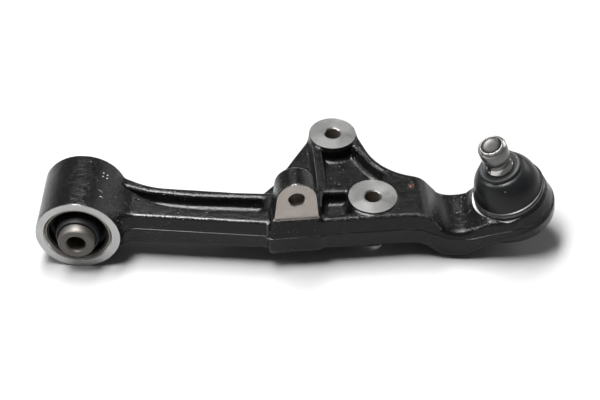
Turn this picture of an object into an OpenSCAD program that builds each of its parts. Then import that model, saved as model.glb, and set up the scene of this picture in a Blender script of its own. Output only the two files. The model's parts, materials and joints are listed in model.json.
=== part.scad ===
// Lower control arm of a car's front suspension.
// The origin is the centre of the pivot bore. +Y runs along that bore, towards the rear rod
// bolt, +X runs out to the ball joint, and the two rod bosses face +Z. Millimetres.

/* [Pivot eye and bushing] */
// Outside diameter of the pivot eye
eye_d = 64; // [62:0.5:68]
// Length of the pivot eye along its bore
eye_length = 56; // [52:1:60]
// Diameter of the bore that takes the rubber bushing
eye_bore_d = 50; // [48:0.5:52]
// Wall of the bushing's outer steel sleeve
outer_sleeve_wall = 1.6; // [1.2:0.1:2.4]
// Outside diameter of the bushing's inner steel sleeve
inner_sleeve_d = 28; // [24:0.5:30]
// Length of the inner sleeve, end face to end face
inner_sleeve_length = 75; // [66:1:80]
// Diameter of the pivot bolt's hole
pivot_hole_d = 14.2; // [12.2:0.1:16.2]

/* [Beam and web] */
// Height of the beam's upper flanges above the parting plane
beam_top = 13.5; // [12:0.5:15]
// Depth of the beam below the parting plane
beam_bottom = 16; // [14:0.5:18]
// Half the thickness of the web at the bottom of the grooves and pockets
web_half = 4; // [3:0.5:6]

/* [Rod bosses] */
// Distance between the two rod bolts
rod_bolt_spacing = 80; // [76:0.5:84]
// Outside diameter of a rod boss's machined face
rod_boss_d = 37; // [34:0.5:40]
// Diameter of a rod bolt's hole
rod_hole_d = 12.4; // [10.5:0.1:14.5]
// Height of the machined faces above the parting plane
rod_face_top = 16; // [15.5:0.5:18]
// Depth of the bosses' lower faces below the parting plane
rod_face_bottom = 20; // [18.5:0.5:22]

/* [Stabiliser link boss] */
// Height of the link bolt's axis above the parting plane
link_height = 35.5; // [33:0.5:38]
// Diameter of the link bolt's hole
link_hole_d = 12.4; // [10.5:0.1:14.5]
// Length of the hole through the boss
link_boss_length = 21; // [18:0.5:24]
// Radius of the boss's arched top
link_arch_r = 15.3; // [14:0.1:17]

/* [Ball joint] */
// Diameter of the ball
ball_d = 29; // [27:0.5:30]
// Outside diameter of the ball-joint housing at its widest
housing_d = 62; // [60:0.5:64]
// Lean of the housing's axis towards the pivot, in degrees
housing_lean = 20.5; // [16:0.5:22]
// Diameter of the stud's clamped end
stud_d = 22; // [20:0.1:24]
// Distance from the ball's centre to the end of the stud
stud_reach = 67.3; // [64:0.1:70]

/* [Hidden] */
$fn = 96;
eps = 0.01;
through = 200;               // longer than any hole is deep

// Places in plan
rod_front = [223.6, 9.4];                       // rod bolt beside the neck
rod_angle = 113.7;                              // direction from the front rod bolt to the rear one
rod_rear = rod_front + rod_bolt_spacing * [cos(rod_angle), sin(rod_angle)];
boss_draft = 1;                                 // how far a boss's cast wall stands outside its face
link_face = [166, -19];                         // middle of the link boss's machined face
link_yaw = 8;                                   // turn of that face about Z
ball = [333.1, 21.3, 5.9];                      // centre of the ball
housing_side_lean = 7.5;                        // lean of the housing's axis towards -Y

// Heights that follow from the driving dimensions
plate_top = beam_top + 1;                       // top of the casting around the bosses
plate_bottom = beam_bottom + 1;
link_lip = plate_top + 2.5;                     // lower edge of the link boss's machined face
pillar_bottom = 20;                             // depth of the pillar below the link boss
neck_drop = 17;                                 // how far the neck dips below the plate
neck_bottom = 29.5;

// Ball joint, measured along its axis from the ball's centre
housing_top = 10;
housing_bottom = 17.8;
housing_lip = 20.6;                             // end of the lip that is rolled over the cover
boot_seat_top = 14.5;                           // top of the neck that the boot's bead grips
boot_seat_r = 25.5;
seat_bore_r = 19;                               // bore that takes the bearing cup
seat_top = 8.5;                                 // top of the cup and of its bore
seat_bottom = 16;                               // depth of the cup's lower face
mouth_r = 16.8;                                 // hole above the cup that the stud's neck swings in
mouth_flare_r = 21.5;                           // the same hole at the top of the neck
lip_hole_r = 19.2;                              // hole inside the rolled lip, over the cover
cover_r = 20.5;
cover_top = 17.2;                               // depth of the cover's upper face
cover_thickness = 2.4;
bead_r = 28.2;                                  // outside radius of the boot's clamped bead
bead_waist_r = 26.9;                            // groove in the bead that the wire ring lies in
collar_bottom = 39.5;
collar_top = 42.8;
collar_r = 16;
stud_seal_r = 10.8;                             // stud radius where the collar rides on it
stud_neck_r = 8.5;
groove_r = 8.7;                                 // waist that the pinch bolt crosses
running_gap = 0.05;                             // radial gap between parts that turn

// Point of the outline corner c = [x, y, radius], rounded off between its neighbours a and b.
function unit(v) = v / norm(v);
function corner(a, c, b, steps) =
    let (p = [c[0], c[1]], u = unit([a[0], a[1]] - p), v = unit([b[0], b[1]] - p))
    c[2] <= 0 ? [p] :
    let (half = acos(u * v) / 2,
         centre = p + unit(u + v) * c[2] / sin(half),
         from = p + u * c[2] / tan(half) - centre,
         to = p + v * c[2] / tan(half) - centre,
         start = atan2(from[1], from[0]),
         turn = atan2(from[0] * to[1] - from[1] * to[0], from * to))
    [for (i = [0 : steps]) centre + c[2] * [cos(start + turn * i / steps),
                                            sin(start + turn * i / steps)]];

// Closed outline through corners [x, y, radius].
function rounded(c, steps = 8) =
    [for (i = [0 : len(c) - 1])
        each corner(c[(i + len(c) - 1) % len(c)], c[i], c[(i + 1) % len(c)], steps)];

// Outline in plan of everything that has the casting's full height.
plate_outline = rounded([
    [0, -16, 0], [143, -21.5, 0], [188, -18, 0], [251, -9, 60],      // front edge
    [318, -9, 20], [ball[0], -4, 0], [ball[0], 36, 0],               // inside the housing
    [231.5, 36, 48], [209.8, 85.5, 0], [173.5, 86, 0],               // up to the rear rod boss
    [179, 36, 0], [181, 12.5, 8],                                    // rib down to the link boss
    [118, 12, 100], [52, 15, 60], [27, 27, 0], [0, 27, 0]]);         // rear edge and the eye

// Lower shelf outside the rib, from the rear rod boss to the beam.
shelf_outline = rounded([
    [173, 86, 0], [161.5, 62, 30], [146, 28, 0], [134, 12, 20], [120, 6, 0], [185, 6, 0], [185, 86, 0]]);
shelf_top = 9;
shelf_bottom = 10;
lower_pocket_extra = 1;                         // the web is this much thicker below the parting plane
sleeve_inset = 1.5;                             // how far the outer sleeve stops short of the eye's face

// Side view of the casting: level from the eye to the rod bosses, then a dip to the housing.
side_outline = rounded([
    [-10, beam_top, 0], [140, beam_top, 0], [150, plate_top, 0],
    [266, plate_top, 14], [281, plate_top - neck_drop - 0.5, 16],
    [294, plate_top - neck_drop, 14], [312, 7.5, 0], [ball[0], 9, 0],
    [ball[0], -9, 0], [313, -18, 10], [298, -neck_bottom, 14], [279, -neck_bottom, 16],
    [264, -plate_bottom, 16], [150, -plate_bottom, 0], [140, -beam_bottom + 1.5, 0], [110, -beam_bottom, 60],
    [-10, -beam_bottom, 0]]);

// The neck's bend starts sooner along the far edge than along the front one.
bend = [274, -9];
bend_skew = 5.5;

// Groove along the beam: a point near the eye that opens to a square end at the link boss.
groove_outline = rounded([
    [30, 15.5, 0], [60, -4, 60], [95, -9, 200], [140, -8, 3], [140, 5.5, 3], [85, 5.5, 150], [50, 9, 60]]);

// Pocket between the two rod bosses, before the bosses are taken out of it.
rear_pocket_outline = rounded([
    [183, 70, 3], [207, 70, 2], [215, 58.5, 40], [222, 48, 40], [232, 38.5, 4],
    [228, 24, 6], [188.5, 24, 4]]);

// Pocket between the link boss and the front rod boss.
front_pocket_outline = rounded([
    [185.5, 13, 4], [208, 14.5, 4], [208, -8, 4], [185.5, -10.5, 3]]);

// Put the children on the ball joint's axis, with the ball's centre at zero.
module on_housing_axis() {
    translate(ball) rotate([housing_side_lean, -housing_lean, 0]) children();
}

// Put the children on the link bolt's axis: +Y runs into the boss from its machined face.
module on_link_axis() {
    translate([link_face[0], link_face[1], link_height]) rotate([0, 0, link_yaw]) children();
}

// Solid between two radii about Y.
module tube_along_y(outer_r, inner_r, length) {
    rotate([90, 0, 0]) difference() {
        cylinder(r = outer_r, h = length, center = true);
        cylinder(r = inner_r, h = length + 2 * eps, center = true);
    }
}

// Two pockets, one cut from above and one from below, that leave the web between them.
module pocket_pair(outline) {
    translate([0, 0, web_half]) linear_extrude(through) polygon(outline);
    translate([0, 0, -web_half - lower_pocket_extra - through])
        linear_extrude(through) polygon(outline);
}

// Pocket pair that stays clear of the rod bosses' walls.
module pocket_beside_bosses(outline) {
    difference() {
        pocket_pair(outline);
        for (p = [rod_front, rod_rear])
            translate([p[0], p[1], -through]) cylinder(r = rod_boss_d / 2 + boss_draft, h = 2 * through);
    }
}

module rod_boss() {
    wall_r = rod_boss_d / 2 + boss_draft;
    translate([0, 0, -rod_face_bottom + boss_draft])
        cylinder(r = wall_r, h = rod_face_top + rod_face_bottom - 2 * boss_draft);
    translate([0, 0, rod_face_top - boss_draft])
        cylinder(r1 = wall_r, r2 = rod_boss_d / 2, h = boss_draft);
    translate([0, 0, -rod_face_bottom])
        cylinder(r1 = rod_boss_d / 2, r2 = wall_r, h = boss_draft);
}

// Bolt hole along Z with a small countersink at each face.
module rod_hole() {
    chamfer = 0.7;
    translate([0, 0, -through / 2]) cylinder(d = rod_hole_d, h = through);
    translate([0, 0, rod_face_top - chamfer])
        cylinder(d1 = rod_hole_d, d2 = rod_hole_d + 2 * (chamfer + eps), h = chamfer + eps);
    translate([0, 0, -rod_face_bottom - eps])
        cylinder(d1 = rod_hole_d + 2 * (chamfer + eps), d2 = rod_hole_d, h = chamfer + eps);
}

// Arch with sides that spread towards the foot, drawn about the link bolt's axis.
module link_arch(foot_half, foot_depth) {
    reach = norm([foot_half, foot_depth]);
    tangent = atan2(-foot_depth, foot_half) + acos(link_arch_r / reach);
    circle(r = link_arch_r);
    polygon([[-foot_half, -foot_depth], [foot_half, -foot_depth],
             link_arch_r * [cos(tangent), sin(tangent)],
             link_arch_r * [-cos(tangent), sin(tangent)]]);
}

// Boss for the stabiliser link: an arched block on a pillar that swells forward at the parting plane.
module link_boss() {
    foot_half = 18.4;
    foot_height = 6;             // where the arch stops, inside the web
    pillar_swell = 4.2;
    pillar_margin = 2.2;         // how much wider than the arch the pillar is on each side
    on_link_axis() {
        translate([0, link_boss_length, 0]) rotate([90, 0, 0])
            linear_extrude(link_boss_length) link_arch(foot_half, link_height - foot_height);
        translate([0, 0, -link_height]) rotate([90, 0, 90])
            linear_extrude(2 * (foot_half + pillar_margin), center = true)
                polygon(rounded([[-1.6, link_lip, 0], [-pillar_swell, 0, 25], [-1.5, -pillar_bottom, 5],
                                 [14, -pillar_bottom, 5], [16, 0, 0], [14, link_lip, 0]]));
    }
}

module link_hole() {
    chamfer = 0.6;
    past = 8;                    // the drill runs this far past each end
    on_link_axis() {
        translate([0, link_boss_length + past, 0]) rotate([90, 0, 0])
            cylinder(d = link_hole_d, h = link_boss_length + 2 * past);
        translate([0, -eps, 0]) rotate([-90, 0, 0])
            cylinder(d1 = link_hole_d + 2 * chamfer, d2 = link_hole_d, h = chamfer);
    }
}

// Material around the ball: a drum, the neck that the boot grips and the lip rolled over the cover.
module housing_drum() {
    wide_r = housing_d / 2;
    on_housing_axis() rotate_extrude() polygon([
        [0, -housing_lip], [23, -housing_lip], [24, -housing_lip + 1], [24.5, -housing_bottom],
        [wide_r - 3.5, -housing_bottom], [wide_r - 1, -housing_bottom + 2.4], [wide_r, -5],
        [wide_r - 0.4, -2], [wide_r - 2, 3], [wide_r - 2.2, housing_top - 0.5],
        [wide_r - 2.7, housing_top],
        [boot_seat_r, housing_top], [boot_seat_r, boot_seat_top], [0, boot_seat_top]]);
}

// Room that the facing tool clears above the housing, where the neck runs into it.
module facing_cut() {
    depth = 20;
    on_housing_axis() translate([0, 0, housing_top]) cylinder(d = housing_d, h = depth);
}

// Space inside the housing: cover seat, cup bore and the flared mouth that lets the stud swing.
module housing_bore() {
    on_housing_axis() rotate_extrude() polygon([
        [0, -housing_lip - eps], [lip_hole_r, -housing_lip - eps],
        [lip_hole_r, -cover_top - cover_thickness], [cover_r, -cover_top - cover_thickness],
        [cover_r, -cover_top], [seat_bore_r, -cover_top], [seat_bore_r, seat_top], [mouth_r, seat_top],
        [mouth_flare_r, boot_seat_top + eps], [0, boot_seat_top + eps]]);
}

module arm_casting() {
    bore_chamfer = 1.2;
    groove_clearance = 1.5;      // wall left round the eye where the groove runs up to it
    color([0.08, 0.08, 0.085]) difference() {
        union() {
            rotate([90, 0, 0]) cylinder(d = eye_d, h = eye_length, center = true);
            difference() {
                intersection() {
                    translate([0, 0, -through / 2]) linear_extrude(through) polygon(plate_outline);
                    translate([bend[0], bend[1], 0]) rotate([0, 0, bend_skew])
                        translate([-bend[0], -bend[1], 0]) rotate([90, 0, 0])
                            linear_extrude(through * 2, center = true) polygon(side_outline);
                }
                facing_cut();
            }
            translate([0, 0, -shelf_bottom]) linear_extrude(shelf_top + shelf_bottom)
                polygon(shelf_outline);
            for (p = [rod_front, rod_rear]) translate([p[0], p[1], 0]) rod_boss();
            link_boss();
            housing_drum();
        }
        rotate([90, 0, 0]) cylinder(d = eye_bore_d, h = eye_length + 2 * eps, center = true);
        for (end = [0, 1]) mirror([0, end, 0])
            translate([0, -eye_length / 2 - eps, 0]) rotate([-90, 0, 0])
                cylinder(d1 = eye_bore_d + 2 * bore_chamfer, d2 = eye_bore_d, h = bore_chamfer);
        difference() {
            pocket_pair(groove_outline);
            rotate([90, 0, 0])
                cylinder(d = eye_d + 2 * groove_clearance, h = eye_length, center = true);
        }
        pocket_beside_bosses(rear_pocket_outline);
        pocket_beside_bosses(front_pocket_outline);
        for (p = [rod_front, rod_rear]) translate([p[0], p[1], 0]) rod_hole();
        link_hole();
        housing_bore();
    }
}

module bushing_outer_sleeve() {
    color([0.45, 0.45, 0.45])
        tube_along_y(eye_bore_d / 2, eye_bore_d / 2 - outer_sleeve_wall, eye_length - 2 * sleeve_inset);
}

// Rubber with a deep annular groove in each end, and a raised bead against the inner sleeve.
module bushing_rubber() {
    outer_r = eye_bore_d / 2 - outer_sleeve_wall;
    inner_r = inner_sleeve_d / 2 + running_gap;
    half = eye_length / 2;
    upper = [[inner_r, half + 2], [inner_r + 1.2, half + 2.5], [inner_r + 2.4, half + 1.5],
             [inner_r + 2.8, half - 4], [inner_r + 4.2, half - 13], [outer_r - 3, half - 13],
             [outer_r - 1.6, half - 6], [outer_r - 1.2, half - 3], [outer_r, half - 3]];
    lower = [for (i = [len(upper) - 1 : -1 : 0]) [upper[i][0], -upper[i][1]]];
    color([0.05, 0.05, 0.05]) rotate([90, 0, 0]) rotate_extrude() polygon(concat(upper, lower));
}

module bushing_inner_sleeve() {
    half = inner_sleeve_length / 2;
    outer_r = inner_sleeve_d / 2;
    hole_r = pivot_hole_d / 2;
    chamfer = 1.2;
    color([0.36, 0.34, 0.32]) rotate([90, 0, 0]) rotate_extrude() polygon([
        [hole_r, -half + chamfer], [hole_r + chamfer, -half], [outer_r - chamfer, -half],
        [outer_r, -half + chamfer], [outer_r, half - chamfer], [outer_r - chamfer, half],
        [hole_r + chamfer, half], [hole_r, half - chamfer]]);
}

// Ball and stud in one forging: neck, polished shoulder, pinch-bolt waist and clamped end.
module ball_stud() {
    ball_r = ball_d / 2;
    end_r = stud_d / 2;
    neck_start = sqrt(ball_r * ball_r - stud_neck_r * stud_neck_r);
    color([0.6, 0.58, 0.55]) on_housing_axis() {
        difference() {
            sphere(r = ball_r);
            translate([0, 0, -ball_r - 1]) cylinder(r = ball_r, h = 3);
        }
        rotate_extrude() polygon([
            [0, 0], [stud_neck_r, neck_start - 1], [stud_neck_r, 20], [stud_seal_r, 35],
            [stud_seal_r, 43.5], [groove_r + 0.6, 47.6], [groove_r, 48.6], [groove_r, 51.6],
            [groove_r + 0.5, 52.6], [end_r, 53.8], [end_r, stud_reach - 2], [end_r - 1.6, stud_reach],
            [end_r - 3, stud_reach], [end_r - 4, stud_reach - 0.5], [0, stud_reach - 0.8]]);
    }
}

// Plastic cup that the ball turns in, open towards the stud.
module ball_seat() {
    grease_well_r = 6;
    grease_well_depth = 5;
    color([0.85, 0.83, 0.76]) on_housing_axis() difference() {
        translate([0, 0, -seat_bottom]) cylinder(r = seat_bore_r, h = seat_bottom + seat_top);
        sphere(r = ball_d / 2 + running_gap);
        cylinder(r1 = ball_d / 2 - 4, r2 = mouth_r, h = seat_top + eps);
        translate([0, 0, -seat_bottom - eps]) cylinder(r = grease_well_r, h = grease_well_depth);
    }
}

// Springy ring that the cover presses against the cup.
module preload_ring() {
    thickness = cover_top - seat_bottom;
    hole_r = 10;
    color([0.55, 0.55, 0.57]) on_housing_axis() translate([0, 0, -cover_top]) difference() {
        cylinder(r = seat_bore_r - 0.5, h = thickness);
        translate([0, 0, -eps]) cylinder(r = hole_r, h = thickness + 2 * eps);
    }
}

module cover_plate() {
    color([0.5, 0.5, 0.5]) on_housing_axis()
        translate([0, 0, -cover_top - cover_thickness]) cylinder(r = cover_r, h = cover_thickness);
}

// Bell-shaped rubber boot, a bead round the housing's neck at the foot.
module dust_boot() {
    wall = 2;
    color([0.06, 0.06, 0.06]) on_housing_axis() rotate_extrude() polygon([
        [boot_seat_r, housing_top], [bead_r - 0.6, housing_top], [bead_r, housing_top + 1],
        [bead_waist_r, housing_top + 1.8], [bead_waist_r, housing_top + 4.8],
        [bead_r - 0.3, housing_top + 5.2], [bead_r - 0.3, housing_top + 6], [26.4, housing_top + 6.9],
        [25.8, 20], [25.1, 24],
        [24, 28], [22.3, 32], [20, 35.6], [17.6, 38.4], [collar_r, collar_bottom],
        [collar_r - wall, collar_bottom], [16, 37.4], [18.2, 34.4], [20.4, 31],
        [22, 27.4], [23, 23.6], [23.7, 19.8], [24, boot_seat_top], [boot_seat_r, boot_seat_top]]);
}

// Wire wound three times round the boot's bead, its turns side by side.
module boot_base_ring() {
    wire_r = 0.45;
    turns = 3;
    pitch = 1.96 * wire_r;       // a little under two radii, so the turns press into one another
    color([0.3, 0.3, 0.3]) on_housing_axis() rotate_extrude()
        for (i = [0 : turns - 1])
            translate([bead_waist_r + wire_r, housing_top + 2 + wire_r + i * pitch])
                circle(r = wire_r, $fn = 24);
}

// Flat stiff ring that closes the top of the boot and rides on the stud's polished shoulder.
module boot_collar() {
    spigot = 2;                  // step that locates the ring in the boot's top
    color([0.07, 0.07, 0.07]) on_housing_axis() rotate_extrude() polygon([
        [stud_seal_r + running_gap, collar_bottom - 1], [collar_r - spigot, collar_bottom - 1],
        [collar_r - spigot, collar_bottom], [collar_r, collar_bottom], [collar_r, collar_top - 0.6],
        [collar_r - 0.6, collar_top], [stud_seal_r + 1, collar_top - 0.4],
        [stud_seal_r + running_gap, collar_top - 1]]);
}

arm_casting();
bushing_outer_sleeve();
bushing_rubber();
bushing_inner_sleeve();
ball_stud();
ball_seat();
preload_ring();
cover_plate();
dust_boot();
boot_base_ring();
boot_collar();
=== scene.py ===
"""Studio picture of a cast lower control arm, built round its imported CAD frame.

Sizes are millimetres on the pieces and metres in Blender. Places come from the frame's mounts
and joints, so the looks sit where the CAD parts are.
"""
import json
import math

import bmesh
import bpy
import numpy as np
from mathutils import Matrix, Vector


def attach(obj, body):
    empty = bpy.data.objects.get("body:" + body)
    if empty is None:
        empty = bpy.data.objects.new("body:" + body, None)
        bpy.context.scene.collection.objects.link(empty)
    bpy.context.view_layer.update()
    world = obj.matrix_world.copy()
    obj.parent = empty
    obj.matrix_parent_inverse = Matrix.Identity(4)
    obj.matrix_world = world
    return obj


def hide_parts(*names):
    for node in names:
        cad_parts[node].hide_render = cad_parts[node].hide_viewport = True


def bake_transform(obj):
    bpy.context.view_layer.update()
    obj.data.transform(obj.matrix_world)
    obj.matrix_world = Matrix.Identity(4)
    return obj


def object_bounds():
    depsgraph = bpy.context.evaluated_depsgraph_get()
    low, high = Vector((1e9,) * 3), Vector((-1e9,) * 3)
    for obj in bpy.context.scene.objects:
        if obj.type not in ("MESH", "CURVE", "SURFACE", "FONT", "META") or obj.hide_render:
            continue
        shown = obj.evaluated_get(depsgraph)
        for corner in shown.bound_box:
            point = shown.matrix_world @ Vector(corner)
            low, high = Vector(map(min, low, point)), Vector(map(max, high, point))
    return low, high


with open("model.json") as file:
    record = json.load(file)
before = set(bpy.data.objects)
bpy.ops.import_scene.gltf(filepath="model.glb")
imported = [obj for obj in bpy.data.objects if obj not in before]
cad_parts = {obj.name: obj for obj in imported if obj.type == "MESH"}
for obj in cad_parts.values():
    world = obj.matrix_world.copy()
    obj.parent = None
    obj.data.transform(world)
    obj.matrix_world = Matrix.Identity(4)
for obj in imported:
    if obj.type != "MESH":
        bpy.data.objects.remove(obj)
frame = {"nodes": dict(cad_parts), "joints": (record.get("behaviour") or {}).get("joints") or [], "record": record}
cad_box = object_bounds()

import openvdb
from mathutils import Matrix, Vector

MM = 0.001
RECORD = frame["record"]
NODES = frame["nodes"]
MOUNTS = {m["name"]: m for m in RECORD["mounts"]}
JOINTS = {j["name"]: j for j in frame["joints"]}


def mount_centre(mount):
    """Centre of a mount, in millimetres."""
    return np.array(MOUNTS[mount]["pos_m"]) / MM


def radius(mount):
    return MOUNTS[mount]["dims"]["r_mm"]


# Pivot eye and beam
EYE_R = 32.0
EYE_HALF = 28.0
EYE_BORE_R = 25.0
BEAM_TOP = 13.5
BEAM_BOTTOM = 16.0
PLATE_TOP = 14.5
PLATE_BOTTOM = 17.0
WEB_HALF = 4.0
DRAFT = math.tan(math.radians(4))

# Rod bosses
ROD_FRONT = mount_centre("rod_bore_front")[:2]
ROD_REAR = mount_centre("rod_bore_rear")[:2]
ROD_R = radius("rod_bore_front")
ROD_FACE_R = 18.5
ROD_TOP = mount_centre("rod_face_front")[2]
ROD_BOTTOM = 20.0

# Link boss: its own axes are across the face, into the boss and up
LINK_OUT = np.array(MOUNTS["link_bore"]["axis"])
LINK_ACROSS = np.array([-LINK_OUT[1], LINK_OUT[0], 0.0])
LINK_MOUNT_DEPTH = 10.0
LINK_CENTRE = mount_centre("link_bore") + LINK_MOUNT_DEPTH * LINK_OUT
LINK_R = radius("link_bore")
LINK_LENGTH = 21.0
LINK_ARCH_R = 15.3
LINK_FOOT = 18.4
LINK_LIP = PLATE_TOP + 2.5
PILLAR_BOTTOM = 20.0

# Ball joint: heights are measured along the stud from the ball's centre
BALL = np.array(JOINTS["stud_spin"]["pos_m"]) / MM
STUD_AXIS = np.array(JOINTS["stud_spin"]["axis"])
ALONG_AXIS = np.array(JOINTS["stud_rock_across"]["axis"])
ACROSS_AXIS = np.array(JOINTS["stud_rock_along"]["axis"])
HOUSING_R = 31.0
RIM_W = 10.0
RIM_R = 30.2
BOOT_SEAT_R = 25.5
BOOT_SEAT_W = 14.5
CUP_R = 19.0
COVER_R = 20.5
COVER_TOP = -17.2
COVER_BOTTOM = -19.6
LIP_W = -20.6
HOUSING_BOTTOM = -17.8


# ---------------------------------------------------------------- outlines

def rounded(corners, closed=True):
    """Outline through corners (x, y, radius), each one rounded off to its radius."""
    steps = 8
    out = []
    count = len(corners)
    for i, (px, py, r) in enumerate(corners):
        p = np.array([px, py], float)
        if r <= 0 or (not closed and i in (0, count - 1)):
            out.append(p)
            continue
        u = np.array(corners[i - 1][:2]) - p
        v = np.array(corners[(i + 1) % count][:2]) - p
        u = u / np.hypot(*u)
        v = v / np.hypot(*v)
        half = math.acos(np.clip(u @ v, -1, 1)) / 2
        centre = p + (u + v) / np.hypot(*(u + v)) * r / math.sin(half)
        a = p + u * r / math.tan(half) - centre
        b = p + v * r / math.tan(half) - centre
        start = math.atan2(a[1], a[0])
        turn = math.atan2(a[0] * b[1] - a[1] * b[0], a @ b)
        for k in range(steps + 1):
            angle = start + turn * k / steps
            out.append(centre + r * np.array([math.cos(angle), math.sin(angle)]))
    return np.array(out)


PLATE = rounded([
    (0, -16, 0), (143, -21.5, 0), (188, -18, 0), (251, -9, 60), (318, -9, 20), (333, -4, 0), (333, 36, 0),
    (231.5, 36, 48), (209.8, 85.5, 0), (173.5, 86, 0), (179, 36, 0), (181, 12.5, 8),
    (118, 12, 100), (52, 15, 60), (27, 27, 0), (0, 27, 0)])
SHELF = rounded([
    (173, 86, 0), (161.5, 62, 30), (146, 28, 0), (134, 12, 20), (120, 6, 0), (185, 6, 0),
    (185, 86, 0)])
SIDE = rounded([
    (-10, BEAM_TOP, 0), (140, BEAM_TOP, 0), (150, PLATE_TOP, 0), (266, PLATE_TOP, 14),
    (281, -3, 16), (294, -2.5, 14), (312, 7.5, 0), (333, 9, 0), (333, -9, 0), (313, -18, 10),
    (298, -29.5, 14), (279, -29.5, 16), (264, -PLATE_BOTTOM, 16), (150, -PLATE_BOTTOM, 0),
    (140, -BEAM_BOTTOM + 1.5, 0), (110, -BEAM_BOTTOM, 60), (-10, -BEAM_BOTTOM, 0)])
GROOVE = rounded([
    (30, 15.5, 0), (60, -4, 60), (95, -9, 200), (140, -8, 3), (140, 5.5, 3), (85, 5.5, 150),
    (50, 9, 60)])
REAR_POCKET = rounded([
    (183, 70, 3), (207, 70, 2), (215, 58.5, 40), (222, 48, 40), (232, 38.5, 4), (228, 24, 6),
    (188.5, 24, 4)])
FRONT_POCKET = rounded([(185.5, 13, 4), (208, 14.5, 4), (208, -8, 4), (185.5, -10.5, 3)])
# How much sooner the neck's bend starts, per millimetre behind the front edge
BEND_SKEW = 0.115
BEND_FRONT = -9.0
# Height of the mould's parting line along the arm
PARTING = rounded([
    (-40, 0, 0), (260, 0, 30), (284, -9, 20), (300, -9, 20), (318, -2, 20), (380, 14, 0)],
    closed=False)


def outline_distance(outline, u, v):
    """Signed distance from points (u, v) to a closed outline, negative inside."""
    best = np.full(np.broadcast(u, v).shape, 1e9)
    inside = np.zeros(best.shape, bool)
    for a, b in zip(outline, np.roll(outline, -1, axis=0)):
        e = b - a
        length2 = e @ e
        if length2 < 1e-9:
            continue
        pu, pv = u - a[0], v - a[1]
        t = np.clip((pu * e[0] + pv * e[1]) / length2, 0, 1)
        best = np.minimum(best, (pu - t * e[0]) ** 2 + (pv - t * e[1]) ** 2)
        if a[1] != b[1]:
            crosses = (a[1] > v) != (b[1] > v)
            inside ^= crosses & (u < a[0] + (v - a[1]) * e[0] / e[1])
    return np.where(inside, -1, 1) * np.sqrt(best)


# ---------------------------------------------------------------- cast skin as a distance field

# Distance that a place holds before any piece reaches it, and the grid's step, in millimetres
OUTSIDE = 1000.0
SKIN_STEP = 1.0


def both(a, b, r):
    """Where two solids meet, with the outer edge rounded to r."""
    rounded_edge = np.hypot(np.maximum(a + r, 0), np.maximum(b + r, 0))
    return np.minimum(np.maximum(a, b), -r) + rounded_edge


def join(a, b, r):
    """Two solids together, with a fillet of r in the corner between them."""
    fillet = np.hypot(np.maximum(r - a, 0), np.maximum(r - b, 0))
    return np.maximum(np.minimum(a, b), r) - fillet


class Field:
    """Signed distance to the cast skin on a regular grid, negative inside the metal."""

    def __init__(self, low, high, step):
        self.low = np.array(low, float)
        self.step = step
        self.count = np.ceil((np.array(high) - self.low) / step).astype(int) + 1
        self.value = np.full(self.count, OUTSIDE, np.float32)

    def block(self, low=None, high=None):
        """Slices and coordinates of the part of the grid between two corners."""
        low = self.low if low is None else np.array(low, float)
        high = self.low + self.step * self.count if high is None else np.array(high, float)
        first = np.clip(((low - self.low) / self.step).astype(int), 0, self.count)
        last = np.clip(np.ceil((high - self.low) / self.step).astype(int), 0, self.count)
        axes = [
            (self.low[i] + self.step * np.arange(first[i], last[i])).astype(np.float32)
            for i in range(3)]
        cells = tuple(slice(first[i], last[i]) for i in range(3))
        return cells, axes[0][:, None, None], axes[1][None, :, None], axes[2][None, None, :]


def parting_height(x):
    return np.interp(x, PARTING[:, 0], PARTING[:, 1])


def add_plate(field):
    """Beam, web, rim and neck: one plan outline cut by one side outline."""
    cells, x, y, z = field.block()
    plan = outline_distance(PLATE, x[:, :, 0], y[:, :, 0])[:, :, None]
    side = outline_distance(SIDE, x[:, 0, :], z[0, 0, :][None, :])
    skew = BEND_SKEW * np.interp(x, [200, 250, 288, 303], [0, 1, 1, 0])
    along = ((x + skew * (y - BEND_FRONT))[:, :, 0] - field.low[0]) / field.step
    along = np.clip(along, 0, len(side) - 1.001)
    first = along.astype(int)
    part = (along - first)[:, :, None]
    side = side[first] * (1 - part) + side[first + 1] * part
    wall = plan - 1.0 + DRAFT * np.abs(z - parting_height(x))
    field.value[cells] = both(wall, side, np.where(z > 0, 1.7, 4.0))


def add_shelf(field):
    cells, x, y, z = field.block((110, 0, -20), (200, 100, 20))
    plan = outline_distance(SHELF, x[:, :, 0], y[:, :, 0])[:, :, None]
    wall = plan + DRAFT * np.abs(z)
    shelf = both(wall, np.maximum(z - 8.5, -10 - z), 2.0)
    field.value[cells] = join(field.value[cells], shelf, 3.0)


def add_eye(field):
    cells, x, y, z = field.block((-40, -40, -40), (90, 40, 40))
    barrel = np.hypot(x, z) - EYE_R
    eye = both(barrel + 0 * y, np.abs(y) - EYE_HALF - 1.0, 0.8)
    fillet = np.interp(y, [-28, 0, 18, 28], [13.0, 11.0, 6.0, 2.0])
    field.value[cells] = join(field.value[cells], eye, fillet)


def cut_pocket(field, outline, low, high, floor, keep_out=()):
    """Press a pocket with sloping walls into the skin, above floor or, if floor < 0, below it."""
    floor_fillet, rim = 3.5, 2.4
    cells, x, y, z = field.block(low, high)
    plan = outline_distance(outline, x[:, :, 0], y[:, :, 0])[:, :, None]
    for centre, r in keep_out:
        boss = r - np.hypot(x - centre[0], y - centre[1])
        plan = both(plan, boss, 2.0)
    height = (z - floor) * np.sign(floor)
    pocket = both(plan - 0.09 * (height - 6), -height, floor_fillet)
    field.value[cells] = both(field.value[cells], -pocket, rim)


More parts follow.
